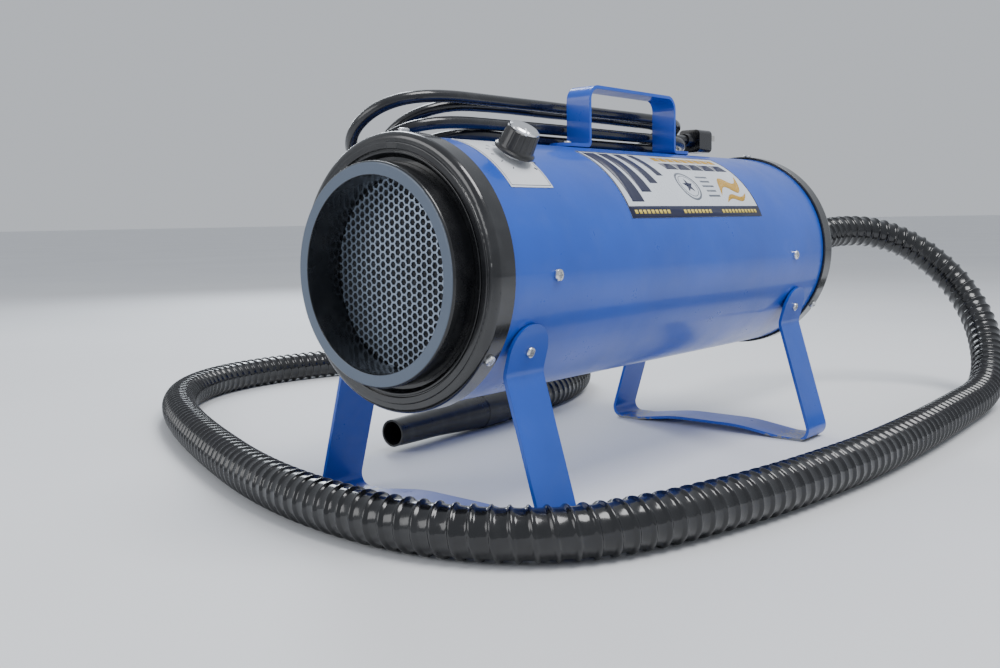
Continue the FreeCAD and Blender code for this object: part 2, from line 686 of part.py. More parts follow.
# The cord lies folded in long loops on the far shoulder of the tube, beside the handle.
HANK_TURNS = 4
HANK_NEAR_ANGLE = 100.0
HANK_FAR_ANGLE = 146.0
HANK_FRONT = 2.0
HANK_REAR = 472.0
HANK_HALF = 62.0          # half the width of the loops, laid flat
HANK_BAND = 42.0          # width of the turns lying side by side
HANK_LOW_R = CAP_R + 0.8
HANK_HIGH_R = HANK_LOW_R + HANK_TURNS * CORD_GAP - 2.0
PLUG_AT = 467.0
PLUG_LENGTH = 38.0
EARTH_PIN_DROP = 8.4      # below the cord's line; the blades sit 3.5 above it


def cord_hank():
    """Outer shape of the folded loops: a long oval band bent over the tube's shoulder."""
    middle = (HANK_NEAR_ANGLE + HANK_FAR_ANGLE) / 2
    slab = ring(HANK_HIGH_R, HANK_LOW_R, HANK_FRONT - 30, HANK_REAR + 30)
    y0 = along(HANK_FRONT) + HANK_HALF
    y1 = along(HANK_REAR) - HANK_HALF
    outline = Part.Face(oval(HANK_HALF, y0, y1)).extrude(V(0, 0, 200))
    outline = outline.cut(Part.Face(oval(HANK_HALF - HANK_BAND, y0, y1)).extrude(V(0, 0, 200)))
    outline.rotate(V(0, 0, 0), V(0, 1, 0), 90 - middle)
    outline.translate(V(0, 0, AXIS_Z))
    beside_handle = Part.makeBox(200, 900, 300, V(-215.5, -450, AXIS_Z))
    return slab.common(outline).common(beside_handle)


def cord_gland():
    """Strain relief: flanged bush in the tube's wall with a tapered sleeve."""
    profile = [
        (CORD_R + 0.1, -6.0), (GLAND_R, -6.0), (GLAND_R, 0.2), (10.5, 0.2), (10.5, 3.0), (8.4, 4.0),
        (6.6, GLAND_REACH), (CORD_R + 0.1, GLAND_REACH),
    ]
    return spun(profile, around(TUBE_R, GLAND_ANGLE, GLAND_AT), GLAND_WAY)


def cord_lead_route():
    """From the strain relief round and back along the tube's far side to the hank."""
    start = around(TUBE_R + GLAND_REACH, GLAND_ANGLE, GLAND_AT)
    first = start + GLAND_WAY * 25.2
    points = [tuple(start), tuple(first)]
    points += [(-177.0, along(145.0), 235.0), (-193.0, along(166.0), 243.0), (-200.0, along(191.0), 250.0)]
    points += [(-195.0, along(217.0), 255.0), (-114.0, along(331.0), 266.0)]
    return points


def cord_tail_route():
    """From the hank's rear end to the plug."""
    start = around(130.0, 108.0, HANK_REAR - 27.0)
    return [tuple(start), (start.x, along(PLUG_AT), start.z)]


def plug_place():
    return V(*cord_tail_route()[1])


def plug_body():
    """Moulded plug: a tapered collar and a flat-sided grip."""
    base = plug_place()
    collar = spun([(0, 0), (6.2, 0), (8.5, 12.0), (0, 12.0)], base, V(0, 1, 0))
    grip = Part.makeBox(26.0, PLUG_LENGTH - 11.0, 25.0, V(base.x - 13.0, base.y + 11.0, base.z - 13.5))
    grip = grip.makeFillet(5.0, [e for e in grip.Edges if abs(e.tangentAt(0).y) > 0.9])
    slots = []
    face_y = base.y + PLUG_LENGTH
    for x in (-6.4, 6.4):
        slots.append(Part.makeBox(1.7, 8.0, 6.6, V(base.x + x - 0.85, face_y - 7.9, base.z + 0.2)))
    slots.append(Part.makeCylinder(2.5, 8.0, V(base.x, face_y - 7.9, base.z - EARTH_PIN_DROP), V(0, 1, 0)))
    return cut_all(collar.fuse(grip), slots)


def plug_blades():
    """Two flat blades and the round earth pin."""
    base = plug_place()
    face_y = base.y + PLUG_LENGTH
    pins = []
    for x in (-6.4, 6.4):
        pins.append(Part.makeBox(1.5, 24.0, 6.3, V(base.x + x - 0.75, face_y - 7.0, base.z + 0.35)))
    pins.append(Part.makeCylinder(2.4, 26.0, V(base.x, face_y - 7.0, base.z - EARTH_PIN_DROP), V(0, 1, 0)))
    return Part.makeCompound(pins)


# ---- assembly ----------------------------------------------------------------------------
def screw_set(places, **sizes):
    return Part.makeCompound([pan_screw(base, way, **sizes) for base, way in places])


def build():
    os.makedirs("parts", exist_ok=True)
    save("housing_tube", housing_tube())
    save("intake_cap", intake_cap())
    save("intake_ring", intake_ring())
    save("intake_grille", intake_grille())
    save("foam_filter", foam_filter())
    save("intake_cap_screws", screw_set(FRONT_CAP_SCREWS))
    save("rear_cap", rear_cap())
    save("rear_cap_screws", screw_set(REAR_CAP_SCREWS))
    save("outlet_spigot", outlet_spigot())
    for name, middle in LEG_MIDDLES.items():
        save(f"{name}_leg", leg(middle))
        save(f"{name}_leg_screws", screw_set(leg_screw_places(middle), shank_l=11.0))
    save("leg_spacers", leg_spacers())
    save("carry_handle", handle())
    save("handle_screws", screw_set(handle_screw_places()))
    save("motor_mount_screws", screw_set(MOUNT_SCREWS, head_r=4.6, head_h=3.0))
    save("dial_plate", dial_plate())
    save("side_label", side_label())
    save("dial_knob", knob())
    save("knob_cap", knob_cap())
    save("dial_shaft", dial_shaft())
    save("speed_control", dial_control())
    save("dial_nut", dial_nut())
    save("control_board", control_board())
    save("control_parts", control_parts())
    save("front_baffle", baffle(STAGE_STARTS["front"], 42.0, True))
    save("rear_baffle", baffle(STAGE_STARTS["rear"], 288.0, False))
    save("rear_bracket", rear_bracket())
    for name, start in STAGE_STARTS.items():
        save(f"{name}_gasket", gasket(start))
        save(f"{name}_fan_shell", fan_shell(start))
        save(f"{name}_motor_case", motor_case(start))
        save(f"{name}_motor_field", motor_field(start))
        save(f"{name}_bearings", motor_bearings(start))
        save(f"{name}_brushes", motor_brushes(start))
        save(f"{name}_rotor", rotor(start))
    save("hose_cuff", hose_cuff())
    save("air_hose", tube_along("air_hose", hose_points(), HOSE_R, HOSE_R - HOSE_WALL))
    save("hose_nozzle", nozzle())
    save("cord_gland", cord_gland())
    save("power_cord", tube_along("power_cord", cord_lead_route(), CORD_R))
    save("cord_hank", cord_hank())
    save("cord_tail", tube_along("cord_tail", cord_tail_route(), CORD_R))
    save("plug_body", plug_body())
    save("plug_blades", plug_blades())


build()
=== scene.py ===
import math

import bmesh
import bpy
import numpy as np
from mathutils import Matrix, Vector


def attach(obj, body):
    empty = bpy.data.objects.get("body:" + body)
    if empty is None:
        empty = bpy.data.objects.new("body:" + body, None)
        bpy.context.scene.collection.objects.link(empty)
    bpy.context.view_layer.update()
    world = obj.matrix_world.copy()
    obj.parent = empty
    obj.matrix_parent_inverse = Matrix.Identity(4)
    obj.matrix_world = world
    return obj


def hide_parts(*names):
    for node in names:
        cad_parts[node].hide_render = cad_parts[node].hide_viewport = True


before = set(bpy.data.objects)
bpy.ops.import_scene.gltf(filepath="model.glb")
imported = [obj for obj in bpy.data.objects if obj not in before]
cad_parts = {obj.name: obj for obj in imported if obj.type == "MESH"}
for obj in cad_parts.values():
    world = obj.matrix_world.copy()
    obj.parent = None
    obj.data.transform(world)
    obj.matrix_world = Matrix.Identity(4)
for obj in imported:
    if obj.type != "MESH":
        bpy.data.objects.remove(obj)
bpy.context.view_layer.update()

# Metres. +Z is up, +Y runs from the blower's intake to its hose outlet.
TUBE_FRONT = -0.2725          # Y of the bare tube's front end
AXIS_Z = 0.1938               # height of the tube's axis
TUBE_R = 0.1016
STRETCH_ROUND = (1, 1, 1)


def place(x, behind, z):
    """A point given by its distance behind the bare tube's front end."""
    return Vector((x, TUBE_FRONT + behind, z))


def around(radius, degrees, behind):
    """A point at a radius and an angle about the tube's axis; 0 is +X and 90 is up."""
    a = math.radians(degrees)
    return place(radius * math.cos(a), behind, AXIS_Z + radius * math.sin(a))


def add(name, data):
    piece = bpy.data.objects.new(name, data)
    bpy.context.scene.collection.objects.link(piece)
    return piece


# ---- camera ------------------------------------------------------------------------------
CAMERA_PLACE = Vector((0.55149, -0.80745, 0.23211))
CAMERA_YAW = math.radians(40.877)
CAMERA_PITCH = math.radians(6.387)
CAMERA_ROLL = math.radians(-0.972)
CAMERA_LENS = 36.56


def make_camera():
    ahead = Vector((
        -math.sin(CAMERA_YAW) * math.cos(CAMERA_PITCH),
        math.cos(CAMERA_YAW) * math.cos(CAMERA_PITCH),
        -math.sin(CAMERA_PITCH),
    ))
    right = ahead.cross(Vector((0, 0, 1))).normalized()
    up = right.cross(ahead)
    rolled_right = right * math.cos(CAMERA_ROLL) + up * math.sin(CAMERA_ROLL)
    rolled_up = up * math.cos(CAMERA_ROLL) - right * math.sin(CAMERA_ROLL)
    data = bpy.data.cameras.new("camera")
    data.lens = CAMERA_LENS
    data.sensor_width = 36
    data.clip_start = 0.01
    camera = add("camera", data)
    turn = Matrix((rolled_right, rolled_up, -ahead)).transposed().to_4x4()
    camera.matrix_world = Matrix.Translation(CAMERA_PLACE) @ turn
    bpy.context.scene.camera = camera


make_camera()


# ---- cords: their lines --------------------------------------------------------------------
def curve_through(name, points, radius=0.0):
    """NURBS curve with these control points, starting and ending at the first and last."""
    data = bpy.data.curves.new(name, "CURVE")
    data.dimensions = "3D"
    line = data.splines.new("NURBS")
    line.points.add(len(points) - 1)
    for control, point in zip(line.points, points):
        control.co = (*point, 1)
    line.order_u = 3
    line.use_endpoint_u = True
    line.resolution_u = 12
    data.bevel_depth = radius
    data.bevel_resolution = 7
    data.use_fill_caps = radius > 0
    return add(name, data)


def line_along(points):
    """Points along the smooth line of a route."""
    guide = curve_through("guide", points)
    mesh = bpy.data.meshes.new_from_object(guide)
    line = np.array([v.co for v in mesh.vertices], float)
    bpy.data.meshes.remove(mesh)
    bpy.data.objects.remove(guide)
    return line


def spaced(line, step):
    """The line with its points a step apart, and their distances along it."""
    reach = np.r_[0, np.cumsum(np.linalg.norm(np.diff(line, axis=0), axis=1))]
    count = int(reach[-1] / step) + 1
    at = np.linspace(0, reach[-1], count)
    return np.stack([np.interp(at, reach, line[:, i]) for i in range(3)], 1), at


HOSE_R = 0.020
HOSE_WALL_R = 0.0180          # of the smooth wall between the ribs
HOSE_PITCH = 0.013
RIB_HALF_WIDTH = 0.0017
HOSE_DRAW = 0.00018           # how far the wall draws in midway between ribs
HOSE_SIDES = 40
HOSE_STEP = 0.0010
HOSE_ROUTE = [
    (0, 0.612, 0.1938), (0, 0.668, 0.1938), (-0.006, 0.726, 0.203), (0.002, 0.787, 0.211),
    (0.035, 0.840, 0.209), (0.082, 0.874, 0.184), (0.129, 0.884, 0.140), (0.165, 0.864, 0.093),
    (0.190, 0.818, 0.052), (0.204, 0.762, 0.027), (0.211, 0.698, 0.020), (0.214, 0.632, 0.020),
    (0.218, 0.560, 0.020), (0.221, 0.485, 0.020), (0.222, 0.410, 0.020), (0.221, 0.335, 0.020),
    (0.215, 0.262, 0.020), (0.207, 0.192, 0.020), (0.194, 0.126, 0.020), (0.178, 0.063, 0.020),
    (0.151, 0.003, 0.020), (0.101, -0.037, 0.020), (0.038, -0.056, 0.020), (-0.032, -0.057, 0.020),
    (-0.102, -0.048, 0.020), (-0.177, -0.029, 0.020), (-0.252, -0.003, 0.020), (-0.327, 0.025, 0.020),
    (-0.402, 0.056, 0.020), (-0.474, 0.090, 0.020), (-0.542, 0.130, 0.020), (-0.602, 0.182, 0.020),
    (-0.646, 0.248, 0.020), (-0.666, 0.324, 0.020), (-0.664, 0.402, 0.020), (-0.645, 0.478, 0.020),
    (-0.612, 0.550, 0.020), (-0.563, 0.612, 0.020), (-0.498, 0.654, 0.020), (-0.424, 0.666, 0.020),
    (-0.354, 0.650, 0.020), (-0.296, 0.608, 0.020), (-0.254, 0.550, 0.020), (-0.228, 0.482, 0.020),
    (-0.214, 0.410, 0.020), (-0.208, 0.340, 0.020),
]


def rib_height(phase):
    """Height of the wire rib over the wall, at a phase counted in turns of the helix."""
    offset = (phase - np.round(phase)) * HOSE_PITCH
    drawn_in = HOSE_DRAW * np.cos(2 * math.pi * phase)
    return (HOSE_R - HOSE_WALL_R - HOSE_DRAW) * np.exp(-(offset / RIB_HALF_WIDTH) ** 4) + drawn_in


def ribbed_hose(name, points):
    """Vinyl hose with a wire rib wound along it, and the line that it follows."""
    line, reach = spaced(line_along(points), HOSE_STEP)
    ahead = np.gradient(line, axis=0)
    ahead /= np.linalg.norm(ahead, axis=1)[:, None]
    side = np.cross(ahead[0], (0, 0, 1))
    turns = np.arange(HOSE_SIDES) / HOSE_SIDES
    rings = []
    for centre, way, far in zip(line, ahead, reach):
        side = side - way * (side @ way)
        side /= np.linalg.norm(side)
        other = np.cross(way, side)
        radius = HOSE_WALL_R + rib_height(far / HOSE_PITCH - turns)
        angle = 2 * math.pi * turns
        rings.append(centre + radius[:, None] * (
            np.cos(angle)[:, None] * side + np.sin(angle)[:, None] * other))
    count = len(rings)
    faces = []
    for i in range(count - 1):
        for j in range(HOSE_SIDES):
            k = (j + 1) % HOSE_SIDES
            a = i * HOSE_SIDES
            b = a + HOSE_SIDES
            faces.append((a + j, a + k, b + k, b + j))
    faces.append(tuple(reversed(range(HOSE_SIDES))))
    faces.append(tuple(range((count - 1) * HOSE_SIDES, count * HOSE_SIDES)))
    mesh = bpy.data.meshes.new(name)
    mesh.from_pydata(np.concatenate(rings).tolist(), [], faces)
    mesh.shade_smooth()
    return add(name, mesh), line


hose_points = [place(*p) for p in HOSE_ROUTE]
hose, hose_line = ribbed_hose("ribbed_hose", hose_points)

CORD_D = 0.010
GLAND_ANGLE = 168.0
GLAND_AT = 0.134
GLAND_R = TUBE_R + 0.030      # of the gland's outer end, from the tube's axis
LEAD_BEND_R = TUBE_R + 0.0552
LEAD_ROUTE = [
    (-0.177, 0.145, 0.235), (-0.193, 0.166, 0.243), (-0.200, 0.191, 0.250), (-0.195, 0.217, 0.255),
]

# The folded cord: a place across the loops, a distance behind the tube's front, and a
# distance from the tube's axis. The loops lie over the far shoulder, round this angle.
HANK_MIDDLE = math.radians(123)
# For each turn: its far run, its near run, and the middles of its rear and front bends.
HANK_TURNS = [
    ((-0.056, 0.138), (0.0545, 0.142), 0.410, 0.066),
    ((-0.043, 0.135), (0.0425, 0.1415), 0.394, 0.098),
    ((-0.057, 0.1195), (0.0485, 0.1205), 0.412, 0.072),
    ((-0.047, 0.1105), (0.040, 0.1105), 0.394, 0.110),
]
HANK_END = (-0.033, 0.125)
TAIL_ROUTE = [
    (-0.033, 0.150, 0.124), (-0.031, 0.205, 0.119), (-0.022, 0.265, 0.114), (-0.004, 0.325, 0.113),
    (0.016, 0.375, 0.119), (0.029, 0.415, 0.128), (0.0336, 0.442, 0.130), (0.0336, 0.467, 0.130),
]
HANK_SWAY = 0.0013            # how far a run strays sideways
FAR_STATIONS = (0.140, 0.215, 0.290, 0.355)
FIRST_FAR_STATIONS = (0.338, 0.378)
NEAR_STATIONS = (0.355, 0.290, 0.215, 0.145)
BEND_STEP = math.radians(45)
OUTSIDE_BEND = 1 / math.cos(BEND_STEP / 2)


def on_hank(across, behind, radius):
    """A point of the folded cord, from its place across the loops and its distances."""
    up = math.sqrt(radius ** 2 - across ** 2)
    x = across * math.sin(HANK_MIDDLE) + up * math.cos(HANK_MIDDLE)
    z = AXIS_Z + up * math.sin(HANK_MIDDLE) - across * math.cos(HANK_MIDDLE)
    return place(x, behind, z)


def bend(start, end, middle, way):
    """Four points round one end of a loop, from one run to the other."""
    centre = (start[0] + end[0]) / 2
    half = (start[0] - end[0]) / 2 * OUTSIDE_BEND
    points = []
    for i in range(4):
        a = (i + 0.5) * BEND_STEP
        radius = start[1] + (end[1] - start[1]) * (i + 0.5) / 4
        behind = middle + way * abs(half) * math.sin(a)
        points.append(on_hank(centre + half * math.cos(a), behind, radius))
    return points


def hank_points():
    """The loops' control points, run after run, each run swaying a little from straight."""
    points = []
    next_runs = [turn[0] for turn in HANK_TURNS[1:]] + [HANK_END]
    for k, (far, near, rear_middle, front_middle) in enumerate(HANK_TURNS):
        for i, behind in enumerate(FAR_STATIONS if k else FIRST_FAR_STATIONS):
            across = far[0] + HANK_SWAY * math.sin(1.9 * i + 2.1 * k)
            points.append(on_hank(across, behind, far[1]))
        points += bend(far, near, rear_middle, 1)
        for i, behind in enumerate(NEAR_STATIONS):
            across = near[0] - HANK_SWAY * abs(math.sin(1.7 * i + 1.3 * k))
            points.append(on_hank(across, behind, near[1]))
        points += bend(near, next_runs[k], front_middle, -1)
    return points


cord_exit = around(GLAND_R, GLAND_ANGLE, GLAND_AT)
cord_points = [cord_exit, around(LEAD_BEND_R, GLAND_ANGLE, GLAND_AT)]
cord_points += [place(*p) for p in LEAD_ROUTE]
cord_points += hank_points()
cord_points += [on_hank(*p) for p in TAIL_ROUTE]
cord = curve_through("mains_cord", cord_points, CORD_D / 2)


# ---- materials -------------------------------------------------------------------------------
class Nodes:
    """A small hand for building one material's nodes."""

    def __init__(self, name):
        self.material = bpy.data.materials.new(name)
        self.material.use_nodes = True
        self.tree = self.material.node_tree
        self.shader = self.tree.nodes["Principled BSDF"]
        self.coordinates = self.node("ShaderNodeTexCoord").outputs["Object"]

    def node(self, kind, **settings):
        made = self.tree.nodes.new(kind)
        for key, value in settings.items():
            setattr(made, key, value)
        return made

    def link(self, source, target):
        self.tree.links.new(source, target)

    def stretched(self, scale):
        mapping = self.node("ShaderNodeMapping")
        mapping.inputs["Scale"].default_value = scale
        self.link(self.coordinates, mapping.inputs["Vector"])
        return mapping.outputs["Vector"]

    def noise(self, scale, detail=4.0, stretch=STRETCH_ROUND):
        made = self.node("ShaderNodeTexNoise")
        made.inputs["Scale"].default_value = scale
        made.inputs["Detail"].default_value = detail
        self.link(self.stretched(stretch), made.inputs["Vector"])
        return made.outputs["Fac"]

    def cells(self, scale, feature="F1"):
        made = self.node("ShaderNodeTexVoronoi", feature=feature)
        made.inputs["Scale"].default_value = scale
        self.link(self.coordinates, made.inputs["Vector"])
        return made.outputs["Distance"]

    def range(self, source, low, high, new_low, new_high):
        made = self.node("ShaderNodeMapRange")
        self.link(source, made.inputs["Value"])
        limits = {"From Min": low, "From Max": high, "To Min": new_low, "To Max": new_high}
        for key, value in limits.items():
            made.inputs[key].default_value = value
        return made.outputs["Result"]

    def maths(self, operation, first, second):
        made = self.node("ShaderNodeMath", operation=operation)
        for socket, value in zip(made.inputs, (first, second)):
            if isinstance(value, (int, float)):
                socket.default_value = value
            else:
                self.link(value, socket)
        return made.outputs["Value"]

    def mix(self, factor, first, second):
        made = self.node("ShaderNodeMix", data_type="RGBA")
        self.link(factor, made.inputs["Factor"])
        for socket, value in zip((made.inputs[6], made.inputs[7]), (first, second)):
            if isinstance(value, tuple):
                socket.default_value = (*value, 1)
            else:
                self.link(value, socket)
        return made.outputs[2]

    def bump(self, height, distance, strength=1.0, normal=None):
        made = self.node("ShaderNodeBump")
        made.inputs["Strength"].default_value = strength
        made.inputs["Distance"].default_value = distance
        self.link(height, made.inputs["Height"])
        if normal:
            self.link(normal, made.inputs["Normal"])
        return made.outputs["Normal"]

    def rounded_edges(self, radius):
        made = self.node("ShaderNodeBevel", samples=4)
        made.inputs["Radius"].default_value = radius
        return made.outputs["Normal"]

    def set(self, **values):
        for key, value in values.items():
            self.shader.inputs[key.replace("_", " ")].default_value = value


def shade(color, factor):
    """The colour made darker or lighter."""
    return tuple(min(1.0, c * factor) for c in color)


def surface(name, color, rough, metal=0.0, coat=0.0, mottle=0.12, spread=0.06, grain=900.0,
            relief=0.00003, edge=0.0004, stretch=STRETCH_ROUND, dust=0.0):
    """Moulded, painted or drawn surface: uneven colour and gloss, fine grain, soft edges."""
    n = Nodes(name)
    patches = n.range(n.noise(14.0, 5.0), 0.3, 0.7, 0, 1)
    base = n.mix(patches, shade(color, 1 - mottle), shade(color, 1 + mottle))
    if dust:
        bloom = n.range(n.noise(55.0, 8.0), 0.5, 0.8, 0, dust)
        base = n.mix(bloom, base, (0.30, 0.30, 0.30))
    n.link(base, n.shader.inputs["Base Color"])
    fine = n.noise(grain, 3.0, stretch)
    gloss = n.maths("ADD", n.range(n.noise(32.0, 6.0), 0.3, 0.7, rough - spread, rough + spread),
                    n.range(fine, 0.3, 0.7, -spread / 2, spread / 2))
    n.link(gloss, n.shader.inputs["Roughness"])
    n.link(n.bump(fine, relief, 0.6, n.rounded_edges(edge)), n.shader.inputs["Normal"])
    n.set(Metallic=metal, Coat_Weight=coat, Coat_Roughness=0.08)
    return n


def blue_paint(name):
    """Powder coat: slight orange peel, soft gloss, rubbed thin at the feet."""
    n = surface(name, (0.008, 0.080, 0.50), 0.33, coat=0.3, mottle=0.09, spread=0.05, grain=520.0,
                relief=0.00005, edge=0.0006, dust=0.04)
    split = n.node("ShaderNodeSeparateXYZ")
    n.link(n.coordinates, split.inputs["Vector"])
    low = n.range(split.outputs["Z"], 0.001, 0.008, 0.62, 0.0)
    worn = n.range(n.maths("ADD", n.noise(260.0, 8.0), low), 0.92, 1.0, 0, 1)
    painted = n.shader.inputs["Base Color"].links[0].from_socket
    n.link(n.mix(worn, painted, (0.23, 0.24, 0.26)), n.shader.inputs["Base Color"])
    return n


def black_gloss(name):
    """Glossy moulded plastic with hairline scratches."""
    n = surface(name, (0.0075, 0.008, 0.0095), 0.2, coat=0.5, mottle=0.25, spread=0.05, grain=700.0,
                relief=0.00002, edge=0.0006, dust=0.05)
    hair = n.range(n.noise(60.0, 2.0, (1, 22, 1)), 0.69, 0.72, 0, 0.12)
    gloss = n.shader.inputs["Roughness"].links[0].from_socket
    n.link(n.maths("ADD", gloss, hair), n.shader.inputs["Roughness"])
    return n


def satin_ring(name):
    """Black moulded ring; its flat front face carries a painted grey-blue sheen, a painted reflection of
    the light it faces, over a rougher gloss.
    """
    n = surface(name, (0.007, 0.0075, 0.009), 0.28, coat=0.3, mottle=0.2, grain=1100.0, dust=0.05)
    turned = n.node("ShaderNodeSeparateXYZ")
    n.link(n.node("ShaderNodeTexCoord").outputs["Normal"], turned.inputs["Vector"])
    # Painted sheen: faces turned towards -Y get a grey-blue colour in place of reflected light; the sides
    # stay black.
    face = n.range(turned.outputs["Y"], -0.97, -0.80, 1, 0)
    black = n.shader.inputs["Base Color"].links[0].from_socket
    gloss = n.shader.inputs["Roughness"].links[0].from_socket
    n.link(n.mix(face, black, (0.085, 0.115, 0.165)), n.shader.inputs["Base Color"])
    n.link(n.maths("ADD", gloss, n.range(face, 0, 1, 0, 0.2)), n.shader.inputs["Roughness"])
    return n


def filter_foam(name):
    """Open-celled foam: painted shade makes the pores deep dark between thin struts."""
    n = Nodes(name)
    pores = n.cells(520.0)
    # Painted shade: the pores' centres are darkened as if shadowed deep inside, lightening out to the
    # struts.
    n.link(n.mix(n.range(pores, 0.1, 0.7, 0, 1), (0.002, 0.002, 0.003), (0.028, 0.03, 0.036)),
           n.shader.inputs["Base Color"])
    n.link(n.range(n.noise(300.0), 0.3, 0.7, 0.85, 1.0), n.shader.inputs["Roughness"])
    n.link(n.bump(pores, 0.0012), n.shader.inputs["Normal"])
    return n


def hose_vinyl(name):
    """Glossy soft vinyl, slightly cloudy, with patchy tone and a little dust."""
    n = surface(name, (0.0042, 0.0046, 0.006), 0.2, coat=0.35, mottle=0.35, spread=0.07, grain=240.0,
                relief=0.0001, edge=0.0, dust=0.05)
    n.set(Specular_IOR_Level=0.5)
    return n


def cord_jacket(name):
    """Smooth rubber jacket with a dull bloom."""
    return surface(name, (0.006, 0.0065, 0.009), 0.27, coat=0.35, mottle=0.3, spread=0.08, grain=420.0,
                   relief=0.00006, edge=0.0, dust=0.06)


def plain(color, rough, **more):
    """Maker of an ordinary surface in this colour, for the table of finishes."""
    return lambda name: surface(name, color, rough, **more)


FINISHES = {
    "blue_paint": blue_paint,
    "black_gloss": black_gloss,
    "satin_ring": satin_ring,
    "grille_steel": plain((0.30, 0.36, 0.45), 0.42, metal=0.6, mottle=0.2, grain=1500.0, edge=0.0002),
    "filter_foam": filter_foam,
    "screw_steel": plain((0.72, 0.73, 0.75), 0.24, metal=1.0, mottle=0.12, grain=1800.0, edge=0.0003),
    "black_rubber": plain((0.014, 0.014, 0.015), 0.55, mottle=0.2, grain=800.0, relief=0.00008),
    "white_plate": plain((0.78, 0.80, 0.83), 0.34, coat=0.2, mottle=0.04, grain=600.0, dust=0.1),
    "label_film": plain((0.70, 0.74, 0.80), 0.26, coat=0.35, mottle=0.05, grain=500.0, dust=0.08),
    "knob_black": plain((0.009, 0.009, 0.010), 0.3, coat=0.25, mottle=0.2, grain=1300.0, dust=0.05),
    "knob_bright": plain((0.80, 0.81, 0.83), 0.16, metal=1.0, mottle=0.06, spread=0.05, grain=2200.0),
    "zinc_steel": plain((0.52, 0.53, 0.55), 0.4, metal=0.9, mottle=0.25, grain=400.0),
    "dark_plastic": plain((0.03, 0.03, 0.033), 0.45, grain=1000.0),
    "board_green": plain((0.02, 0.13, 0.05), 0.35, coat=0.3, mottle=0.2, grain=500.0),
    "aluminium_parts": plain((0.6, 0.61, 0.63), 0.35, metal=0.9, grain=900.0),
    "zinc_sheet": plain((0.48, 0.5, 0.53), 0.42, metal=0.85, mottle=0.3, grain=180.0),
    "lamination": plain((0.2, 0.2, 0.22), 0.5, metal=0.8, grain=1400.0, stretch=(0.05, 1, 0.05)),
    "brush_brass": plain((0.55, 0.38, 0.15), 0.35, metal=0.9, grain=900.0),
    "rotor_metal": plain((0.4, 0.41, 0.43), 0.38, metal=0.9, grain=700.0, stretch=(0.1, 1, 0.1)),
    "hose_vinyl_cuff": plain((0.012, 0.012, 0.014), 0.38, coat=0.2, mottle=0.2, grain=600.0, dust=0.06),
    "hose_vinyl": hose_vinyl,
    "nozzle_black": plain((0.012, 0.012, 0.013), 0.33, coat=0.2, mottle=0.2, grain=700.0, dust=0.08),
    "cord_black": cord_jacket,
    "plug_nickel": plain((0.70, 0.69, 0.66), 0.25, metal=1.0, mottle=0.1, grain=1600.0),
}
made = {slot: finish(slot).material for slot, finish in FINISHES.items()}
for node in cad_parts.values():
    for held in node.material_slots:
        held.material = made[held.material.name.split(".")[0]]

INKS = {
    "ink_navy": (0.010, 0.014, 0.050),
    "ink_gold": (0.55, 0.31, 0.02),
    "ink_grey": (0.16, 0.18, 0.22),
    "ink_yellow": (0.78, 0.60, 0.10),
}
inks = {name: surface(name, color, 0.36, mottle=0.1, grain=1200.0, edge=0.0).material
        for name, color in INKS.items()}


# ---- printed shapes ----------------------------------------------------------------------------
PRINT_THICK = 0.00006
PRINT_LIFT = 0.00005
CUT_STEP = math.radians(1.2)
LABEL_SPAN = (0.159, 0.386)
LABEL_ANGLES = (math.radians(22), math.radians(69))
LABEL_R = TUBE_R + 0.00035
LABEL_TALL = LABEL_R * (LABEL_ANGLES[1] - LABEL_ANGLES[0])
LABEL_LONG = LABEL_SPAN[1] - LABEL_SPAN[0]
PLATE_R = TUBE_R + 0.0006
DIAL_ANGLE = math.radians(57)
DIAL_AT = 0.055
DIAL_TRAVEL = 280
DIAL_START = math.radians(DIAL_TRAVEL / 2)
DIAL_MARKS = 11
MARK_REACH = (0.0186, 0.0216)
PLATE_FRAME = (0.0252, 0.0708)
KNOB_TOP = 0.0255             # height of the knob's bright cap over the tube


def printed(name, outlines, radius, ink, body="blower"):
    """Flat outlines of (distance behind the front, angle), laid on the tube as thin ink."""
    mesh = bmesh.new()
    for outline in outlines:
        mesh.faces.new([mesh.verts.new((behind, angle, 0)) for behind, angle in outline])
    bmesh.ops.triangulate(mesh, faces=mesh.faces)
    angles = [v.co.y for v in mesh.verts]
    for i in range(int(min(angles) / CUT_STEP) + 1, int(max(angles) / CUT_STEP) + 1):
        every = mesh.verts[:] + mesh.edges[:] + mesh.faces[:]
        bmesh.ops.bisect_plane(mesh, geom=every, plane_co=(0, i * CUT_STEP, 0), plane_no=(0, 1, 0))
    for v in mesh.verts:
        behind, angle, _ = v.co
        v.co = around(radius + PRINT_LIFT, math.degrees(angle), behind)
    for face in mesh.faces:
        face.normal_update()
        middle = face.calc_center_median()
        if face.normal.dot(Vector((middle.x, 0, middle.z - AXIS_Z))) < 0:
            face.normal_flip()
    data = bpy.data.meshes.new(name)
    mesh.to_mesh(data)
    mesh.free()
    data.shade_smooth()
    data.materials.append(inks[ink])
    piece = add(name, data)
    thick = piece.modifiers.new("thick", "SOLIDIFY")
    thick.thickness = PRINT_THICK
    thick.offset = 1
    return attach(piece, body)


def on_label(points):
    """Label places from (0..1 along, 0..1 up) to distance and angle."""
    low, high = LABEL_ANGLES
    return [(LABEL_SPAN[0] + s * LABEL_LONG, low + v * (high - low)) for s, v in points]


def bar(s0, v0, s1, v1, lean=0.0):
    """Four-sided label patch, its upper edge moved along by the lean."""
    return on_label([(s0, v0), (s1, v0), (s1 + lean, v1), (s0 + lean, v1)])


def round_points(s, v, radius, count=40, start=0.0):
    points = []
    for i in range(count):
        a = start + 2 * math.pi * i / count
        points.append((s + radius * math.cos(a) / LABEL_LONG, v + radius * math.sin(a) / LABEL_TALL))
    return points


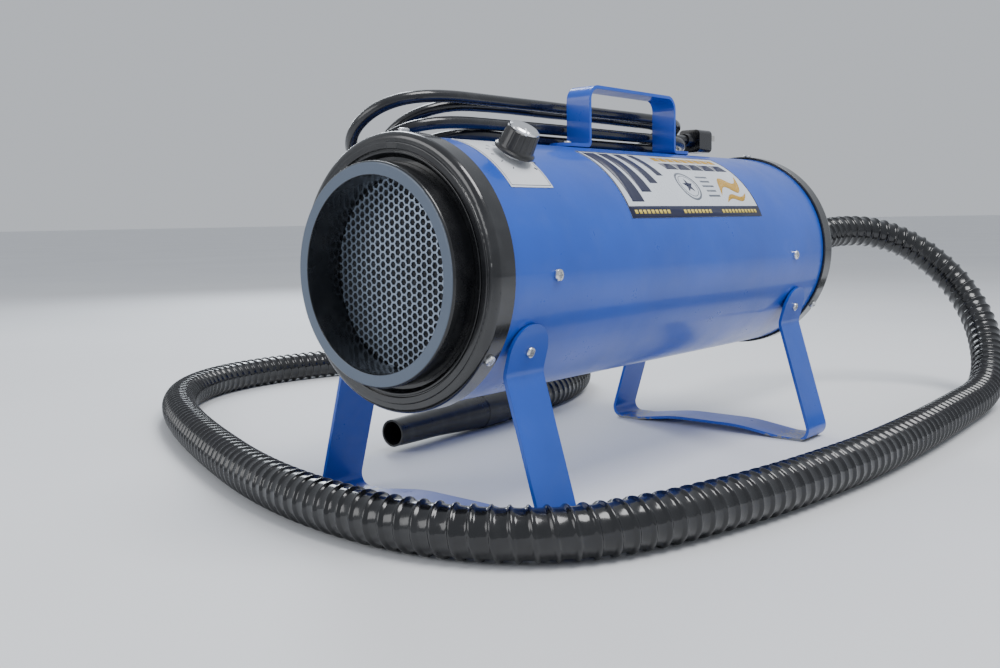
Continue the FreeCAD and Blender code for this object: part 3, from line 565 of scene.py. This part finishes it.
def annulus(s, v, outer, inner, count=40):
    """Ring of four-sided pieces."""
    outside = round_points(s, v, outer, count)
    inside = round_points(s, v, inner, count)
    pieces = []
    for i in range(count):
        j = (i + 1) % count
        pieces.append(on_label([inside[i], outside[i], outside[j], inside[j]]))
    return pieces


def star(s, v, radius):
    """Five kites that meet in the middle."""
    tips = round_points(s, v, radius, 5, math.pi / 2)
    dips = round_points(s, v, radius * 0.42, 5, math.pi / 2 + math.pi / 5)
    return [on_label([(s, v), dips[i - 1], tips[i], dips[i]]) for i in range(5)]


def swash(s, v, long, tall, thick, count=18):
    """Ribbon that rises in a wave and thins to its ends."""
    pieces = []
    for i in range(count):
        ends = []
        for t in (i / count, (i + 1) / count):
            middle = v + tall * (t - 0.5) + 0.35 * tall * math.sin(2 * math.pi * t)
            half = thick * math.sin(math.pi * t) ** 0.7 + 0.003
            ends.append((s + long * t, middle - half, middle + half))
        (s0, a0, b0), (s1, a1, b1) = ends
        pieces.append(on_label([(s0, a0), (s1, a1), (s1, b1), (s0, b0)]))
    return pieces


def label_print():
    """Generic label: rules, bars, a ringed star, a wave and a row of dashes."""
    edge = 0.007
    tall_edge = edge * LABEL_LONG / LABEL_TALL
    navy = [bar(0, 0, 1, 0.13), bar(0, 1 - tall_edge, 1, 1), bar(0, 0.13, edge, 1 - tall_edge)]
    navy.append(bar(1 - edge, 0.13, 1, 1 - tall_edge))
    for i in range(4):
        start = 0.045 + 0.098 * i
        navy.append(bar(start, 0.18 + 0.12 * i, start + 0.078 - 0.012 * i, 0.955, -0.025))
    navy += star(0.515, 0.40, 0.0085)
    for i in range(5):
        start = 0.47 + 0.1 * i
        navy.append(bar(start, 0.665, start + 0.090, 0.785, -0.012))
    printed("label_navy_print", navy, LABEL_R, "ink_navy")
    grey = annulus(0.515, 0.40, 0.0165, 0.0145) + annulus(0.515, 0.40, 0.0125, 0.0118)
    for i in range(5):
        inset = 0.008 * (i % 2)
        grey.append(bar(0.625 + inset, 0.25 + 0.068 * i, 0.715 - inset, 0.275 + 0.068 * i))
    printed("label_grey_print", grey, LABEL_R, "ink_grey")
    gold = swash(0.735, 0.42, 0.23, 0.30, 0.075) + swash(0.755, 0.24, 0.19, 0.12, 0.032)
    for i in range(9):
        start = 0.46 + 0.056 * i
        gold.append(bar(start, 0.83, start + 0.046, 0.925))
    printed("label_gold_print", gold, LABEL_R, "ink_gold")
    marks = []
    for group, count in ((0.03, 9), (0.37, 8), (0.67, 11)):
        for i in range(count):
            marks.append(bar(group + 0.0275 * i, 0.045, group + 0.0275 * i + 0.019, 0.088))
    printed("label_yellow_print", marks, LABEL_R + PRINT_THICK * 1.5, "ink_yellow")


def dial_way(turn):
    """(along, up) of a direction on the dial, turned this far to the left of straight up."""
    return -math.sin(turn), math.cos(turn)


def dial_print():
    """Scale round the knob: marks that grow with the setting, over the knob's own travel."""
    marks = []
    for i in range(DIAL_MARKS):
        turn = math.radians(DIAL_TRAVEL / 2 - DIAL_TRAVEL / (DIAL_MARKS - 1) * i)
        along, up = dial_way(turn)
        half = 0.0003 + 0.00006 * i
        outline = []
        near, far = MARK_REACH
        for reach, side in ((near, -1), (far, -1), (far, 1), (near, 1)):
            d = DIAL_AT + along * reach + side * half * up
            u = up * reach - side * half * along
            outline.append((d, DIAL_ANGLE + u / PLATE_R))
        marks.append(outline)
    left, right = PLATE_FRAME
    for d0, d1, a0, a1 in (
        (left, right, 38.2, 38.45), (left, right, 75.85, 76.1),
        (left, left + 0.0004, 38.2, 76.1), (right - 0.0004, right, 38.2, 76.1),
    ):
        a0, a1 = math.radians(a0), math.radians(a1)
        marks.append([(d0, a0), (d1, a0), (d1, a1), (d0, a1)])
    printed("dial_scale_print", marks, PLATE_R, "ink_navy")


def knob_pointer():
    """White line let into the knob's bright cap and down over its rim."""
    out = Vector((math.cos(DIAL_ANGLE), 0, math.sin(DIAL_ANGLE)))
    up = Vector((-math.sin(DIAL_ANGLE), 0, math.cos(DIAL_ANGLE)))
    along, rise = dial_way(DIAL_START)
    way = Vector((0, along, 0)) + up * rise
    side = out.cross(way)
    top = around(TUBE_R + KNOB_TOP, math.degrees(DIAL_ANGLE), DIAL_AT)
    stations = ((0.0030, -0.0004), (0.0078, -0.0004), (0.0098, 0.0), (0.0116, -0.0010), (0.0124, -0.0030))
    mesh = bmesh.new()
    rows = []
    for reach, height in stations:
        half = 0.00055 + 0.00025 * (reach / 0.0124)
        middle = top + way * reach + out * (height + 0.0001)
        rows.append([mesh.verts.new(middle + side * half * s) for s in (-1, 1)])
    for a, b in zip(rows, rows[1:]):
        mesh.faces.new((a[0], a[1], b[1], b[0]))
    data = bpy.data.meshes.new("knob_pointer")
    mesh.to_mesh(data)
    mesh.free()
    data.materials.append(made["white_plate"])
    piece = add("knob_pointer", data)
    thick = piece.modifiers.new("thick", "SOLIDIFY")
    thick.thickness = 0.0003
    thick.offset = 0
    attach(piece, "dial")


label_print()
dial_print()
knob_pointer()


# ---- cords: finish, and hiding the CAD cords ---------------------------------------------------
hose.data.materials.append(made["hose_vinyl"])
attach(hose, "blower")
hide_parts("air_hose")

cord.data.materials.append(made["cord_black"])
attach(cord, "blower")
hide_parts("power_cord", "cord_hank", "cord_tail")


# ---- floor and light ---------------------------------------------------------------------------
def make_floor():
    data = bpy.data.meshes.new("floor")
    reach = 80.0
    data.from_pydata([(-reach, -reach, 0), (reach, -reach, 0), (reach, reach, 0), (-reach, reach, 0)], [],
                     [(0, 1, 2, 3)])
    floor = add("floor", data)
    n = Nodes("pale_floor")
    n.link(n.mix(n.range(n.noise(1.5, 3.0), 0.3, 0.7, 0, 1), (0.74, 0.75, 0.77), (0.78, 0.79, 0.81)),
           n.shader.inputs["Base Color"])
    n.set(Roughness=0.75)
    data.materials.append(n.material)


def area_light(name, where, size, power, color=(1, 1, 1), aim=(0, 0, 0.15)):
    data = bpy.data.lights.new(name, "AREA")
    data.shape = "RECTANGLE"
    data.size, data.size_y = size
    data.energy = power
    data.color = color
    light = add(name, data)
    light.location = where
    light.rotation_euler = (Vector(aim) - Vector(where)).to_track_quat("-Z", "Y").to_euler()


def make_light():
    world = bpy.data.worlds.new("studio")
    world.use_nodes = True
    background = world.node_tree.nodes["Background"]
    background.inputs["Color"].default_value = (0.80, 0.84, 0.90, 1)
    background.inputs["Strength"].default_value = 0.72
    bpy.context.scene.world = world
    area_light("key", (0.9, 0.1, 2.2), (1.3, 1.0), 44)
    area_light("rim", (-1.7, 1.0, 1.5), (0.4, 2.0), 26, (0.88, 0.94, 1.0))
    area_light("front_fill", (-0.9, -2.0, 1.0), (1.4, 1.0), 14)


make_floor()
make_light()
